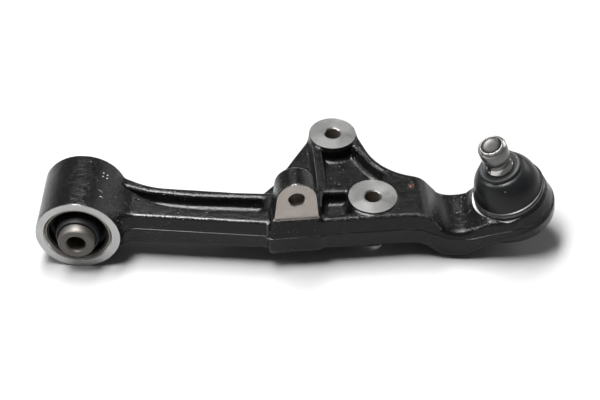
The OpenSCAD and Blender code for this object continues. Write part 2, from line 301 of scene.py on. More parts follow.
def add_rod_boss(field, centre):
    low = (centre[0] - 30, centre[1] - 30, -40)
    cells, x, y, z = field.block(low, (centre[0] + 30, centre[1] + 30, 30))
    wall = np.hypot(x - centre[0], y - centre[1]) - (ROD_FACE_R + 1.0) + 0.05 * np.abs(z)
    boss = both(wall, np.maximum(z - ROD_TOP - 0.8, -ROD_BOTTOM - 0.8 - z), 0.5)
    field.value[cells] = join(field.value[cells], boss, 2.2)


def link_arch():
    """Arch with sides that spread to the foot, about the link bolt's axis."""
    foot_depth = LINK_CENTRE[2] - 4
    reach = math.hypot(LINK_FOOT, foot_depth)
    start = math.atan2(-foot_depth, LINK_FOOT) + math.acos(LINK_ARCH_R / reach)
    arc = [
        (LINK_ARCH_R * math.cos(a), LINK_ARCH_R * math.sin(a))
        for a in np.linspace(start, math.pi - start, 25)]
    return np.array([(-LINK_FOOT, -foot_depth), (LINK_FOOT, -foot_depth)] + arc)


def add_link_boss(field):
    cells, x, y, z = field.block((130, -36, -30), (204, 24, 54))
    dx, dy = x - LINK_CENTRE[0], y - LINK_CENTRE[1]
    across = dx * LINK_ACROSS[0] + dy * LINK_ACROSS[1] + 0 * z
    inward = -(dx * LINK_OUT[0] + dy * LINK_OUT[1]) + 0 * z
    arch = outline_distance(link_arch(), across, z - LINK_CENTRE[2] + 0 * across)
    hump = both(arch, np.maximum(-inward - 1.0, inward - LINK_LENGTH), 2.0)
    side = np.abs(across) - np.interp(z, [-20, -8, 0, 18], [21.4, 22.4, 21.9, 18.9])
    bulge = np.where(z > 0, 4.6 - 0.17 * z, 4.6 + 0.04 * z)
    front = -inward - bulge
    section = both(side, np.maximum(front, inward - 15), 4.0)
    pillar = both(section, np.maximum(z - LINK_LIP - 0.6, -PILLAR_BOTTOM - z), np.where(z > 0, 2.0, 8.5))
    boss = join(hump, pillar, 1.0)
    flash = both(np.abs(np.abs(across) - 22.0) - 0.9, np.maximum(front + 1.2, inward - 6), 0.5)
    flash = both(flash, np.maximum(z - LINK_LIP + 3.5, -2.0 - z), 0.5)
    field.value[cells] = join(join(field.value[cells], boss, 1.4), flash, 0.8)


def add_housing(field):
    reach = 46
    cells, x, y, z = field.block(BALL - reach, BALL + reach)
    offset = [x - BALL[0], y - BALL[1], z - BALL[2]]
    w = sum(STUD_AXIS[i] * offset[i] for i in range(3))
    distance2 = sum(o * o for o in offset)
    rho = np.sqrt(np.maximum(distance2 - w * w, 0))
    skin = HOUSING_R - np.interp(w, [-17.8, -7, -5.5, -4.2, 3, 12], [2.5, 0.0, 0.1, 0.7, 1.7, 2.8])
    drum = both(rho - skin, np.maximum(w - RIM_W - 0.8, HOUSING_BOTTOM - w), 2.2)
    lip = both(rho - 24.3, np.maximum(w - RIM_W, LIP_W - w), 1.0)
    seat = both(rho - BOOT_SEAT_R - 1, np.maximum(w - BOOT_SEAT_W - 1, -w), 0.5)
    drum = join(join(drum, lip, 1.5), seat, 0.3)
    field.value[cells] = join(field.value[cells], drum, 10.0)


def cast_field():
    field = Field((-36, -33, -36), (370, 106, 56), SKIN_STEP)
    add_plate(field)
    add_eye(field)
    cut_pocket(field, GROOVE, (24, -20, 0), (150, 25, 40), WEB_HALF)
    cut_pocket(field, GROOVE, (24, -20, -40), (150, 25, 0), -WEB_HALF - 1)
    add_shelf(field)
    bosses = [(ROD_FRONT, ROD_FACE_R + 1.5), (ROD_REAR, ROD_FACE_R + 1.5)]
    for outline in (REAR_POCKET, FRONT_POCKET):
        cut_pocket(field, outline, (178, -16, 0), (240, 80, 20), WEB_HALF, bosses)
        cut_pocket(field, outline, (178, -16, -20), (240, 80, 0), -WEB_HALF - 1, bosses)
    for centre in (ROD_FRONT, ROD_REAR):
        add_rod_boss(field, centre)
    add_link_boss(field)
    add_housing(field)
    return field


# ---------------------------------------------------------------- mesh helpers

def new_object(name, verts, faces, materials=(), smooth=True):
    """Mesh object with its place in its vertices, which come in metres."""
    mesh = bpy.data.meshes.new(name)
    mesh.from_pydata([tuple(v) for v in verts], [], [tuple(f) for f in faces])
    for material in materials:
        mesh.materials.append(material)
    mesh.update()
    if smooth:
        mesh.polygons.foreach_set("use_smooth", [True] * len(mesh.polygons))
    obj = bpy.data.objects.new(name, mesh)
    bpy.context.scene.collection.objects.link(obj)
    return obj


def joint_point(across, along, w):
    """Point in metres from the ball joint's own coordinates in millimetres."""
    return (BALL + ALONG_AXIS * across + ACROSS_AXIS * along + STUD_AXIS * w) * MM


# Sides of a large round piece
FINE_TURNS = 128


def lathe(name, profile, frame_point, turns=96, closed=False, materials=(), finish=None):
    """Solid of revolution. profile is (radius, height); frame_point places a local point.

    finish(radius, height) gives the material's number for the stretch whose middle is there.
    """
    profile = [tuple(p) for p in profile]
    verts, rings = [], []
    for r, h in profile:
        if r < 1e-6:
            rings.append([len(verts)])
            verts.append(frame_point(0, 0, h))
            continue
        ring = []
        for k in range(turns):
            a = 2 * math.pi * k / turns
            ring.append(len(verts))
            verts.append(frame_point(r * math.cos(a), r * math.sin(a), h))
        rings.append(ring)
    faces, slots = [], []
    pairs = [(i, i + 1) for i in range(len(rings) - 1)]
    if closed:
        pairs.append((len(rings) - 1, 0))
    for i, j in pairs:
        low, high = rings[i], rings[j]
        middle = ((profile[i][0] + profile[j][0]) / 2, (profile[i][1] + profile[j][1]) / 2)
        slot = finish(*middle) if finish else 0
        for k in range(turns):
            a, b = low[k % len(low)], low[(k + 1) % len(low)]
            c, d = high[(k + 1) % len(high)], high[k % len(high)]
            corners = []
            for corner in (a, b, c, d):
                if corner not in corners:
                    corners.append(corner)
            if len(corners) > 2:
                faces.append(corners)
                slots.append(slot)
    obj = new_object(name, verts, faces, materials)
    obj.data.polygons.foreach_set("material_index", slots)
    face_outwards(obj)
    return obj


def face_outwards(obj):
    edit = bmesh.new()
    edit.from_mesh(obj.data)
    bmesh.ops.recalc_face_normals(edit, faces=edit.faces)
    edit.to_mesh(obj.data)
    edit.free()


def sharpen(obj, angle=32):
    """Keep corners steeper than angle crisp and everything else smooth."""
    edit = bmesh.new()
    edit.from_mesh(obj.data)
    limit = math.radians(angle)
    for edge in edit.edges:
        if len(edge.link_faces) == 2:
            turned = edge.calc_face_angle(0) > limit
            edge.smooth = not turned
    edit.to_mesh(obj.data)
    edit.free()


def arc(centre, r, start, end, steps=6):
    """Points of a profile's arc, angles in degrees."""
    return [
        (centre[0] + r * math.cos(math.radians(start + (end - start) * k / steps)),
         centre[1] + r * math.sin(math.radians(start + (end - start) * k / steps)))
        for k in range(steps + 1)]


def cut(obj, tools):
    """Take each tool's solid out of obj. The cut faces keep the tool's material."""
    for tool in tools:
        modifier = obj.modifiers.new("cut", "BOOLEAN")
        modifier.operation = "DIFFERENCE"
        modifier.solver = "MANIFOLD"
        modifier.object = tool
    bpy.context.view_layer.update()
    done = obj.evaluated_get(bpy.context.evaluated_depsgraph_get())
    mesh = bpy.data.meshes.new_from_object(done)
    obj.modifiers.clear()
    obj.data = mesh
    for tool in tools:
        bpy.data.objects.remove(tool)


# ---------------------------------------------------------------- shared finishes

def node(tree, kind, **inputs):
    """New node with its inputs filled: a plain value is set, an output socket is linked."""
    new = tree.nodes.new(kind)
    for name, value in inputs.items():
        fill(tree, new, name.replace("_", " "), value)
    return new


def fill(tree, target, socket, value):
    if isinstance(value, bpy.types.NodeSocket):
        tree.links.new(value, target.inputs[socket])
    else:
        target.inputs[socket].default_value = value


def maths(tree, operation, *values):
    """Output of a Math node over one, two or three values or sockets."""
    new = tree.nodes.new("ShaderNodeMath")
    new.operation = operation
    for i, value in enumerate(values):
        fill(tree, new, i, value)
    return new.outputs[0]


def vector_maths(tree, operation, *values):
    new = tree.nodes.new("ShaderNodeVectorMath")
    new.operation = operation
    for i, value in enumerate(values):
        fill(tree, new, i, value)
    return new.outputs["Value" if operation == "LENGTH" else "Vector"]


def band(tree, value, start, end, low=0.0, high=1.0):
    """Smooth step of value between start and end."""
    new = tree.nodes.new("ShaderNodeMapRange")
    new.interpolation_type = "SMOOTHSTEP"
    for name, entry in (("Value", value), ("From Min", start), ("From Max", end),
                        ("To Min", low), ("To Max", high)):
        fill(tree, new, name, entry)
    return new.outputs["Result"]


def noise(tree, vector, scale, detail=2.0, rough=0.5):
    new = node(tree, "ShaderNodeTexNoise", Vector=vector, Scale=scale, Detail=detail, Roughness=rough)
    return new.outputs["Fac"]


def blend_colour(tree, mask, first, second):
    new = tree.nodes.new("ShaderNodeMix")
    new.data_type = "RGBA"
    for socket, value in ((0, mask), (6, first), (7, second)):
        fill(tree, new, socket, value)
    return new.outputs[2]


def shader_group(name, inputs, outputs):
    """Empty shader node group with named inputs {name: default} and float outputs."""
    tree = bpy.data.node_groups.new(name, "ShaderNodeTree")
    for key, default in inputs.items():
        kind = "NodeSocketFloat" if isinstance(default, float) else "NodeSocketVector"
        socket = tree.interface.new_socket(key, in_out="INPUT", socket_type=kind)
        socket.default_value = default
    for key in outputs:
        tree.interface.new_socket(key, in_out="OUTPUT", socket_type="NodeSocketFloat")
    given = tree.nodes.new("NodeGroupInput").outputs
    result = tree.nodes.new("NodeGroupOutput").inputs
    return tree, given, result


def cast_grain_group():
    """Sand-cast texture: fine grain on low lumps, and its height's own variation."""
    tree, given, result = shader_group(
        "cast_grain", {"Vector": (0, 0, 0), "Grain": 900.0, "Lumps": 160.0}, ["Height", "Lumps", "Pits"])
    fine = noise(tree, given["Vector"], given["Grain"], 3.0, 0.6)
    lumps = noise(tree, given["Vector"], given["Lumps"], 2.0)
    tree.links.new(maths(tree, "MULTIPLY_ADD", lumps, 0.8, fine), result["Height"])
    tree.links.new(lumps, result["Lumps"])
    tree.links.new(band(tree, fine, 0.42, 0.62), result["Pits"])
    return tree


def flecks_group():
    """Scattered specks: dust, chips or pits. Cover runs from 0, none, to 1, everywhere."""
    tree, given, result = shader_group(
        "flecks", {"Vector": (0, 0, 0), "Scale": 300.0, "Cover": 0.1}, ["Mask"])
    specks = noise(tree, given["Vector"], given["Scale"], 1.0)
    patches = noise(tree, given["Vector"], maths(tree, "MULTIPLY", given["Scale"], 0.06), 2.0)
    level = maths(tree, "SUBTRACT", 0.86, maths(tree, "MULTIPLY", given["Cover"], patches))
    top = maths(tree, "ADD", level, 0.05)
    tree.links.new(band(tree, specks, level, top), result["Mask"])
    return tree


def turned_marks_group():
    """Rings a cutting tool leaves about an axis. Across is 1 on the two axes of the face."""
    tree, given, result = shader_group(
        "turned_marks", {"Vector": (0, 0, 0), "Centre": (0, 0, 0), "Across": (1, 1, 0), "Rings": 12000.0},
        ["Height", "Shade"])
    offset = vector_maths(tree, "SUBTRACT", given["Vector"], given["Centre"])
    flat = vector_maths(tree, "MULTIPLY", offset, given["Across"])
    distance = vector_maths(tree, "LENGTH", flat)
    count = maths(tree, "MULTIPLY", distance, given["Rings"])
    waves = maths(tree, "SINE", count)
    rings = tree.nodes.new("ShaderNodeTexNoise")
    rings.noise_dimensions = "1D"
    fill(tree, rings, "W", maths(tree, "MULTIPLY", count, 0.35))
    fill(tree, rings, "Scale", 1.0)
    height = maths(tree, "MULTIPLY_ADD", rings.outputs["Fac"], 1.4, waves)
    tree.links.new(height, result["Height"])
    tree.links.new(rings.outputs["Fac"], result["Shade"])
    return tree


GRAIN = cast_grain_group()
FLECKS = flecks_group()
TURNED = turned_marks_group()


def use_group(tree, group, **inputs):
    new = tree.nodes.new("ShaderNodeGroup")
    new.node_tree = group
    for name, value in inputs.items():
        fill(tree, new, name, value)
    return new.outputs


def principled(name, **values):
    """New material, its tree, its shader with plain values set, and Object coordinates."""
    material = bpy.data.materials.new(name)
    material.use_nodes = True
    tree = material.node_tree
    shader = tree.nodes["Principled BSDF"]
    for socket, value in values.items():
        shader.inputs[socket.replace("_", " ")].default_value = value
    place = tree.nodes.new("ShaderNodeTexCoord").outputs["Object"]
    return material, tree, shader, place


def bump(tree, shader, height, depth_mm):
    """Relief on the surface: a height of 1 stands depth_mm proud."""
    new = node(tree, "ShaderNodeBump", Strength=1.0, Distance=depth_mm * MM, Height=height)
    tree.links.new(new.outputs["Normal"], shader.inputs["Normal"])


# ---------------------------------------------------------------- materials

RUST_PLACE = (0.2535, 0.0245, PLATE_TOP * MM)
# Radians of tool mark per metre from the axis: about one ring each half millimetre
TOOL_RINGS = 12000.0


def black_paint():
    """Glossy black dip paint on a cast skin: grain, dust, a rusty chip, the mould's seam, and convex edges painted
    lighter grey, partly paint worn thin and partly a painted highlight.
    """
    material, tree, shader, place = principled("black_paint", Specular_IOR_Level=0.2, Coat_Roughness=0.16)
    grain = use_group(tree, GRAIN, Vector=place, Grain=740.0, Lumps=190.0)
    dust = use_group(tree, FLECKS, Vector=place, Scale=700.0, Cover=0.26)["Mask"]
    from_rust = vector_maths(tree, "SUBTRACT", place, RUST_PLACE)
    near = band(tree, vector_maths(tree, "LENGTH", from_rust), 0.0005, 0.0035, 1.0, 0.0)
    blotch = noise(tree, place, 900.0, 3.0)
    rust = maths(tree, "MULTIPLY", near, band(tree, blotch, 0.46, 0.6))
    paint = blend_colour(tree, grain["Pits"], (0.0009, 0.0009, 0.0009, 1), (0.0038, 0.0037, 0.0036, 1))
    dusty = blend_colour(tree, dust, paint, (0.085, 0.082, 0.075, 1))
    # Convex edges are painted lighter grey and given a coat: partly paint worn thin, partly a painted highlight
    # along the edges.
    convex = tree.nodes.new("ShaderNodeNewGeometry").outputs["Pointiness"]
    edge = band(tree, convex, 0.516, 0.545)
    edge_wear_and_highlight_mask = maths(tree, "MULTIPLY", edge, band(tree, grain["Pits"], 0.1, 0.9, 0.15, 1.0))
    paint_with_edge_wear_and_highlight = blend_colour(tree, edge_wear_and_highlight_mask, dusty, (0.045, 0.044, 0.042, 1))
    fill(tree, shader, "Base Color", blend_colour(tree, rust, paint_with_edge_wear_and_highlight, (0.12, 0.06, 0.038, 1)))
    gloss = band(tree, grain["Lumps"], 0.3, 0.7, 0.15, 0.25)
    fill(tree, shader, "Roughness", maths(tree, "MULTIPLY_ADD", dust, 0.4, gloss))
    seam = tree.nodes.new("ShaderNodeAttribute")
    seam.attribute_name = "parting"
    off = maths(tree, "ABSOLUTE", seam.outputs["Fac"])
    ridge = maths(tree, "MULTIPLY", band(tree, off, 0.1, 0.9, 1.0, 0.0), 2.6)
    fill(tree, shader, "Coat Weight", maths(tree, "MULTIPLY", edge_wear_and_highlight_mask, 0.9))
    calm = maths(tree, "MULTIPLY_ADD", edge, -0.7, 1.0)
    relief = maths(tree, "MULTIPLY", grain["Height"], calm)
    bump(tree, shader, maths(tree, "ADD", relief, ridge), 0.36)
    return material


def machined(name, colour, rough, centre, across, depth=0.008):
    """Bare metal off a lathe or mill, with rings about centre."""
    material, tree, shader, place = principled(name, Metallic=1.0)
    marks = use_group(tree, TURNED, Vector=place, Centre=centre, Across=across, Rings=TOOL_RINGS)
    stain = noise(tree, place, 120.0, 3.0)
    dark = tuple(0.72 * c for c in colour) + (1,)
    shade = maths(tree, "MULTIPLY_ADD", stain, 0.2, maths(tree, "MULTIPLY", marks["Shade"], 0.6))
    fill(tree, shader, "Base Color", blend_colour(tree, shade, tuple(colour) + (1,), dark))
    fill(tree, shader, "Roughness", band(tree, stain, 0.3, 0.7, rough - 0.02, rough + 0.03))
    bump(tree, shader, marks["Height"], depth)
    return material


def milled_face():
    """The link boss's face: flat, matt and slightly warm, with fine straight cutter marks."""
    material, tree, shader, place = principled("milled_face", Metallic=1.0)
    streaks = noise(tree, vector_maths(tree, "MULTIPLY", place, (1.0, 1.0, 12.0)), 260.0, 3.0)
    stain = noise(tree, place, 90.0, 3.0)
    warm = blend_colour(tree, stain, (0.42, 0.38, 0.35, 1), (0.29, 0.26, 0.235, 1))
    fill(tree, shader, "Base Color", warm)
    fill(tree, shader, "Roughness", band(tree, streaks, 0.3, 0.7, 0.42, 0.55))
    bump(tree, shader, streaks, 0.05)
    return material


def drilled_bore():
    """Inside of a hole: dull brown-grey, a little stained."""
    material, tree, shader, place = principled("drilled_bore", Metallic=0.9)
    stain = noise(tree, place, 200.0, 3.0)
    fill(tree, shader, "Base Color", blend_colour(
        tree, stain, (0.30, 0.26, 0.22, 1), (0.11, 0.09, 0.075, 1)))
    fill(tree, shader, "Roughness", band(tree, stain, 0.3, 0.7, 0.34, 0.5))
    bump(tree, shader, stain, 0.03)
    return material


def moulded_rubber(name, rough, tint, cover):
    """Black rubber with a bloom on it and a little dust."""
    material, tree, shader, place = principled(name, Specular_IOR_Level=0.24)
    bloom = noise(tree, place, 70.0, 3.0)
    dust = use_group(tree, FLECKS, Vector=place, Scale=380.0, Cover=cover)["Mask"]
    skin = blend_colour(tree, bloom, tuple(0.75 * c for c in tint) + (1,), tuple(tint) + (1,))
    fill(tree, shader, "Base Color", blend_colour(tree, dust, skin, (0.10, 0.10, 0.095, 1)))
    fill(tree, shader, "Roughness", band(tree, bloom, 0.3, 0.7, rough - 0.05, rough + 0.06))
    bump(tree, shader, noise(tree, place, 1500.0, 2.0), 0.03)
    return material


def plain_steel(name, colour, rough, cover=0.15):
    """Pressed or drawn steel with faint pits."""
    material, tree, shader, place = principled(name, Metallic=1.0)
    pits = use_group(tree, FLECKS, Vector=place, Scale=350.0, Cover=cover)["Mask"]
    stain = noise(tree, place, 140.0, 3.0)
    dark = tuple(0.62 * c for c in colour) + (1,)
    tone = blend_colour(tree, stain, tuple(colour) + (1,), dark)
    fill(tree, shader, "Base Color", blend_colour(tree, pits, tone, (0.06, 0.045, 0.035, 1)))
    fill(tree, shader, "Roughness", band(tree, stain, 0.3, 0.7, rough - 0.06, rough + 0.08))
    bump(tree, shader, noise(tree, place, 700.0, 3.0), 0.015)
    return material


def bearing_plastic():
    material, tree, shader, place = principled("bearing_plastic")
    cloud = noise(tree, place, 90.0, 2.0)
    fill(tree, shader, "Base Color", blend_colour(tree, cloud, (0.80, 0.78, 0.70, 1), (0.70, 0.67, 0.58, 1)))
    fill(tree, shader, "Roughness", band(tree, cloud, 0.3, 0.7, 0.3, 0.42))
    bump(tree, shader, cloud, 0.02)
    return material


ORIGIN = (0, 0, 0)
BALL_M = tuple(BALL * MM)
BLACK_PAINT = black_paint()
BOSS_FRONT_FACE = machined(
    "turned_front_boss", (0.20, 0.20, 0.195), 0.36, (*ROD_FRONT * MM, 0), (1, 1, 0), depth=0.011)
BOSS_REAR_FACE = machined(
    "turned_rear_boss", (0.235, 0.235, 0.23), 0.36, (*ROD_REAR * MM, 0), (1, 1, 0), depth=0.011)
EYE_FACE = machined("turned_eye_face", (0.47, 0.47, 0.465), 0.46, ORIGIN, (1, 0, 1))
LINK_FACE = milled_face()
BRIGHT_EDGE = plain_steel("bright_edge", (0.52, 0.515, 0.50), 0.3, 0.05)
BORE = drilled_bore()
SEAT_METAL = machined("turned_ball_seat", (0.34, 0.335, 0.33), 0.4, BALL_M, (1, 1, 1))
SLEEVE_STEEL = plain_steel("sleeve_steel", (0.24, 0.215, 0.19), 0.4)
COLLAR_STEEL = machined("collar_steel", (0.115, 0.108, 0.10), 0.54, ORIGIN, (1, 0, 1))
STUD_STEEL = plain_steel("stud_steel", (0.16, 0.157, 0.152), 0.28)
# Stud end: the chamfered rim is painted lighter than the stud's steel as a painted highlight, and the dished end
# face is painted darker as painted shade in the dish.
STUD_RIM_PAINTED_HIGHLIGHT = plain_steel("stud_rim_painted_highlight", (0.40, 0.395, 0.38), 0.26)
STUD_END_PAINTED_SHADE = plain_steel("stud_end_face_painted_shade", (0.045, 0.044, 0.043), 0.42)
POLISHED = plain_steel("polished_steel", (0.62, 0.61, 0.59), 0.09, 0.03)
WIRE = plain_steel("wire_steel", (0.17, 0.17, 0.17), 0.26)
# Light grey for the mould marks: partly worn paint, partly a painted highlight on the small domes.
WORN_PAINT_AND_HIGHLIGHT = plain_steel("worn_paint_and_painted_highlight", (0.33, 0.32, 0.30), 0.4)
BUSH_RUBBER = moulded_rubber("bushing_rubber", 0.5, (0.006, 0.0064, 0.0074), 0.12)
BOOT_RUBBER = moulded_rubber("boot_rubber", 0.34, (0.005, 0.0053, 0.0058), 0.22)
RING_RUBBER = moulded_rubber("ring_rubber", 0.5, (0.013, 0.0135, 0.014), 0.22)
PLASTIC = bearing_plastic()


# ---------------------------------------------------------------- the casting

def mesh_from_field(field, name, materials):
    grid = openvdb.FloatGrid(OUTSIDE)
    grid.copyFromArray(field.value)
    points, quads = grid.convertToQuads(isovalue=0.0)
    points = (points * field.step + field.low) * MM
    obj = new_object(name, points, quads, materials)
    face_outwards(obj)
    return obj


def upright(centre, profile, material):
    """Cutting tool about a vertical axis."""
    def point(a, b, h):
        return np.array([centre[0] + a, centre[1] + b, h]) * MM
    return lathe("tool", profile, point, materials=[material])


def facing(centre, r, low, high, material):
    return upright(centre, [(0, low), (r, low), (r, high), (0, high)], material)


def along_y(name, profile, materials, closed=False, finish=None):
    """Solid of revolution about the pivot's axis."""
    def point(a, b, h):
        return np.array([a, h, b]) * MM
    return lathe(name, profile, point, FINE_TURNS, closed, materials, finish)


def box_tool(centre, axes, low, high, material):
    """Cutting block between two corners given along its own axes."""
    corners = [(a, b, c) for a in (low[0], high[0]) for b in (low[1], high[1])
               for c in (low[2], high[2])]
    verts = [(centre + sum(axes[i] * p[i] for i in range(3))) * MM for p in corners]
    faces = [(0, 1, 3, 2), (4, 6, 7, 5), (0, 4, 5, 1), (2, 3, 7, 6), (0, 2, 6, 4), (1, 5, 7, 3)]
    obj = new_object("tool", verts, faces, [material], smooth=False)
    face_outwards(obj)
    return obj


def eye_tools():
    """Cuts that face the eye's two ends, bore it and break the bore's edges."""
    far, over, chamfer = 60, EYE_R + 6, 1.2
    tools = []
    for side in (-1, 1):
        tools.append(along_y("tool", [
            (0, side * EYE_HALF), (over, side * EYE_HALF), (over, side * far), (0, side * far)],
            [EYE_FACE]))
        tools.append(along_y("tool", [
            (0, side * (EYE_HALF - chamfer)), (EYE_BORE_R, side * (EYE_HALF - chamfer)),
            (EYE_BORE_R + 2 * chamfer, side * (EYE_HALF + chamfer)), (0, side * (EYE_HALF + chamfer))],
            [BRIGHT_EDGE]))
    tools.append(along_y("tool", [(0, -far), (EYE_BORE_R, -far), (EYE_BORE_R, far), (0, far)], [BORE]))
    return tools


def rod_tools(centre, face_material):
    """Cuts that face a rod boss above and below, drill it and countersink the hole."""
    wide, chamfer, over = ROD_FACE_R + 4, 0.9, 2.0
    tools = [
        facing(centre, wide, ROD_TOP, ROD_TOP + 20, face_material),
        facing(centre, wide, -ROD_BOTTOM - 20, -ROD_BOTTOM, face_material),
        facing(centre, ROD_R, -ROD_BOTTOM - 10, ROD_TOP + 10, BORE)]
    for end, way in ((ROD_TOP, 1), (-ROD_BOTTOM, -1)):
        tools.append(upright(centre, [
            (0, end - way * chamfer), (ROD_R, end - way * chamfer),
            (ROD_R + chamfer + over, end + way * over), (0, end + way * over)], face_material))
    return tools


def link_tools():
    """Cuts that mill the link boss's face, drill it and break the hole's edge."""
    up = np.array([0, 0, 1.0])
    chamfer = 0.6

    def point(a, b, h):
        return (LINK_CENTRE + LINK_ACROSS * a + up * b - LINK_OUT * h) * MM

    lip = LINK_LIP - LINK_CENTRE[2]
    axes = (LINK_ACROSS, -LINK_OUT, up)
    return [
        box_tool(LINK_CENTRE, axes, (-24, -12, lip), (24, 0, 22), LINK_FACE),
        box_tool(LINK_CENTRE, axes, (-24, -12, lip - 0.5), (24, 0, lip + 0.1), BRIGHT_EDGE),
        lathe("tool", [(0, -9), (LINK_R, -9), (LINK_R, LINK_LENGTH + 6), (0, LINK_LENGTH + 6)],
              point, materials=[BORE]),
        lathe("tool", [(0, -3), (LINK_R + chamfer + 3, -3), (LINK_R, chamfer), (0, chamfer)],
              point, materials=[BRIGHT_EDGE])]


def housing_tool():
    """Cut that turns the ball joint's rim, boot seat, mouth, cup bore and cover seat."""
    return lathe("tool", [
        (0, 40), (RIM_R, 40), (RIM_R, RIM_W), (BOOT_SEAT_R, RIM_W),
        (BOOT_SEAT_R, BOOT_SEAT_W), (21.5, BOOT_SEAT_W), (16.8, 8.5), (CUP_R, 8.5),
        (CUP_R, COVER_TOP), (COVER_R, COVER_TOP), (COVER_R, COVER_BOTTOM),
        (19.2, COVER_BOTTOM), (19.2, LIP_W - 8), (0, LIP_W - 8)],
        joint_point, FINE_TURNS, materials=[SEAT_METAL])


def casting_tools():
    """Everything the machine shop cuts."""
    return (eye_tools() + rod_tools(ROD_FRONT, BOSS_FRONT_FACE) + rod_tools(ROD_REAR, BOSS_REAR_FACE)
            + link_tools() + [housing_tool()])


def mark_parting(obj):
    """Store each point's height above the mould's parting line, for the paint to follow."""
    count = len(obj.data.vertices)
    co = np.zeros(count * 3, np.float32)
    obj.data.vertices.foreach_get("co", co)
    co = co.reshape(-1, 3) / MM
    attribute = obj.data.attributes.new("parting", "FLOAT", "POINT")
    attribute.data.foreach_set("value", (co[:, 2] - parting_height(co[:, 0])).astype(np.float32))


def on_arm(obj, slot, *nodes):
    """The piece moves with the casting and stands for these CAD nodes; slot is not used."""
    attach(obj, "arm")
    if nodes:
        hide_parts(*nodes)


def make_casting():
    finishes = [BLACK_PAINT, BOSS_FRONT_FACE, BOSS_REAR_FACE, EYE_FACE, LINK_FACE, BRIGHT_EDGE, BORE,
                SEAT_METAL]
    skin = mesh_from_field(cast_field(), "arm_casting_finished", finishes)
    cut(skin, casting_tools())
    mark_parting(skin)
    sharpen(skin)
    on_arm(skin, "black_paint", "arm_casting")


def add_dome(verts, faces, turn, y, half, slant=0.0):
    """Low dome on the eye, turn degrees from its top and slanted by slant radians.

    half holds its half sizes, round the eye and along it.
    """
    rings, around, height, sunk = 4, 12, 0.6, 0.2
    turn = math.radians(turn)
    out = np.array([math.sin(turn), 0, math.cos(turn)])
    side = np.array([math.cos(turn), 0, -math.sin(turn)])
    along = np.array([0, 1.0, 0])
    side, along = (side * math.cos(slant) + along * math.sin(slant),
                   along * math.cos(slant) - side * math.sin(slant))
    middle = out * (EYE_R - sunk) + np.array([0, y, 0])
    first = len(verts)
    for ring in range(rings):
        rise = math.radians(90 * ring / rings)
        for k in range(around):
            a = 2 * math.pi * k / around
            flat = math.cos(rise) * (side * half[0] * math.cos(a) + along * half[1] * math.sin(a))
            verts.append((middle + flat + out * (height + sunk) * math.sin(rise)) * MM)
    verts.append((middle + out * (height + sunk)) * MM)
    top = len(verts) - 1
    for ring in range(rings - 1):
        for k in range(around):
            a = first + ring * around + k
            b = first + ring * around + (k + 1) % around
            faces.append((a, b, b + around, a + around))
    last = first + (rings - 1) * around
    for k in range(around):
        faces.append((last + k, last + (k + 1) % around, top))
    faces.append(tuple(first + k for k in reversed(range(around))))


def make_mould_marks():
    """Two by two small domes and two short dashes that the mould leaves on the eye, in light grey: partly worn
    paint, partly a painted highlight on their tops.
    """
    spacing, middle_turn, middle_y = 3.6, 35, 11.7
    verts, faces = [], []
    for i in (-0.5, 0.5):
        for j in (-0.5, 0.5):
            turn = middle_turn + math.degrees(i * spacing / EYE_R)
            add_dome(verts, faces, turn, middle_y + j * spacing, (0.8, 0.8))
    add_dome(verts, faces, 32.5, -7.0, (1.6, 0.4), 0.1)
    add_dome(verts, faces, 35.0, -12.8, (2.0, 0.45), -0.3)
    marks = new_object("mould_marks", verts, faces, [WORN_PAINT_AND_HIGHLIGHT])
    face_outwards(marks)
    mark_parting(marks)
    on_arm(marks, "black_paint")


# ---------------------------------------------------------------- the bushing

SLEEVE_HALF = 26.5
COLLAR_R = 14.0
COLLAR_HALF = 37.5
PIVOT_R = radius("pivot_bore")


def mirrored(half):
    """Closed profile about the middle from its +Y half, given from the inside out."""
    return half + [(r, -h) for r, h in reversed(half)]


def make_bushing():
    inner = EYE_BORE_R - 1.6
    sleeve = along_y("bushing_outer_sleeve_finished", mirrored(
        [(inner, SLEEVE_HALF - 0.5), (inner + 0.5, SLEEVE_HALF)]
        + arc((EYE_BORE_R - 0.6, SLEEVE_HALF - 0.6), 0.6, 90, 0)), [SLEEVE_STEEL], closed=True)
    sharpen(sleeve)
    on_arm(sleeve, "sleeve_steel", "bushing_outer_sleeve")

    edge = COLLAR_R + 0.05
    rubber = along_y("bushing_rubber_finished", mirrored(
        [(edge, EYE_HALF + 1.6)] + arc((edge + 1.2, EYE_HALF + 1.3), 1.15, 165, 20)
        + [(edge + 2.7, EYE_HALF - 3)] + arc((edge + 6.4, EYE_HALF - 9.5), 3.5, 190, 350, 10)
        + [(inner - 1.5, EYE_HALF - 6)] + arc((inner - 0.5, EYE_HALF - 3.6), 0.9, 175, 70)
        + [(inner, EYE_HALF - 3.2)]), [BUSH_RUBBER], closed=True)
    sharpen(rubber, 50)
    on_arm(rubber, "bushing_rubber", "bushing_rubber")

    chamfer = 1.2
    collar = along_y("bushing_inner_sleeve_finished", mirrored(
        [(PIVOT_R, COLLAR_HALF - 1.2), (PIVOT_R + 1.0, COLLAR_HALF)]
        + [(r, COLLAR_HALF) for r in (9.5, 11.0)]
        + [(COLLAR_R - chamfer, COLLAR_HALF), (COLLAR_R - 0.25, COLLAR_HALF - 1.0),
           (COLLAR_R, COLLAR_HALF - 1.6)]),
        [COLLAR_STEEL, BORE], closed=True, finish=lambda r, h: int(r < PIVOT_R + 0.3))
    sharpen(collar, 25)
    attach(collar, "pivot_sleeve")
    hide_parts("bushing_inner_sleeve")


# ---------------------------------------------------------------- the ball joint

BEAD_R = 28.2
WAIST_R = 26.9
RING_R = 16.0
RING_LOW = 39.5
RING_HIGH = 42.8
SHOULDER_R = 10.8
STUD_R = radius("stud_pin")
STUD_END = 67.3
BOOT_SPLIT = 26.5


